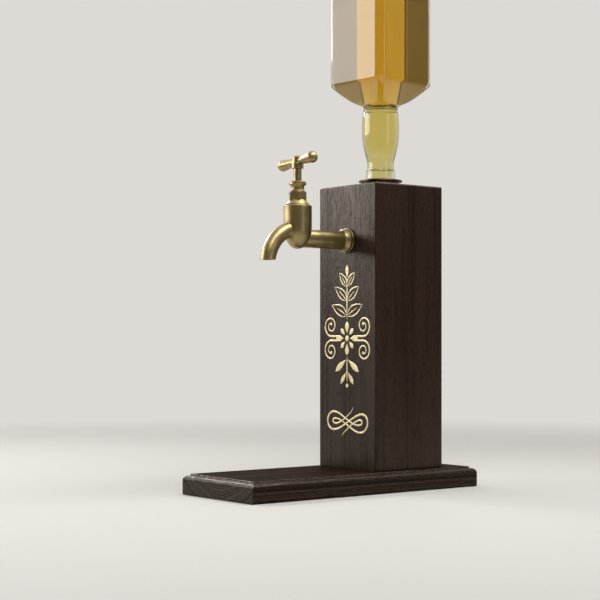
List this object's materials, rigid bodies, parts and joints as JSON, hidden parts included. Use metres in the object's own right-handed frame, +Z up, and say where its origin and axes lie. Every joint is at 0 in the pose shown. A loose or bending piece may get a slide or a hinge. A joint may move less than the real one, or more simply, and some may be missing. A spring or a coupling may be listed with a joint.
{
  "type": "drink dispenser",
  "caption": "Wooden countertop drink dispenser: square post on a moulded board, inverted glass bottle feeding a lined well, and a screw-down brass bib tap with a T-handle.",
  "frame": {"origin": "middle of the base board's underside", "axes": "+Z up, -Y to the front where the tap is, +X to the right seen from behind the tap"},
  "size_m": [0.122, 0.3, 0.5526],
  "materials": {
    "stained_wood": "dark stained straight-grained wood, satin",
    "satin_brass": "satin antique brass",
    "turned_steel": "turned",
    "food_plastic": "moulded",
    "black_rubber": "moulded",
    "fibre": "pressed red fibre",
    "packing": "greased packing",
    "clear_glass": "clear, moulded"
  },
  "bodies": {
    "stand": {"base_board": "stained_wood", "post": "stained_wood", "base_screws": "turned_steel", "reservoir_cup": "food_plastic", "bottle_seat": "turned_steel", "seat_gasket": "black_rubber", "tap_body": "satin_brass", "port_seal": "black_rubber", "wall_flange": "satin_brass", "wall_washer": "black_rubber", "bonnet": "satin_brass", "bonnet_washer": "fibre", "gland_packing": "packing", "gland_nut": "satin_brass"},
    "valve": {"jumper": "satin_brass", "tap_washer": "black_rubber", "washer_nut": "satin_brass"},
    "handle_spindle": {"spindle": "satin_brass", "jumper_keeper": "turned_steel", "handle": "satin_brass", "handle_grub_screw": "turned_steel"},
    "bottle": {"bottle": "clear_glass"}
  },
  "joints": [
    {"name": "valve_lift", "type": "slide", "parent": "stand", "child": "valve", "axis": [0, 0, 1], "range_m": [0, 0.003]},
    {"name": "handle_turn", "type": "hinge", "parent": "valve", "child": "handle_spindle", "pos_m": [0, -0.0483, 0.3353], "axis": [0, 0, 1], "range_deg": [0, 540]},
    {"name": "bottle_lift", "type": "slide", "parent": "stand", "child": "bottle", "axis": [0, 0, 1], "range_m": [0, 0.08]}
  ],
  "couplings": [
    {"joint": "handle_turn", "follows": "valve_lift", "rad_per_m": 3141.6}
  ]
}
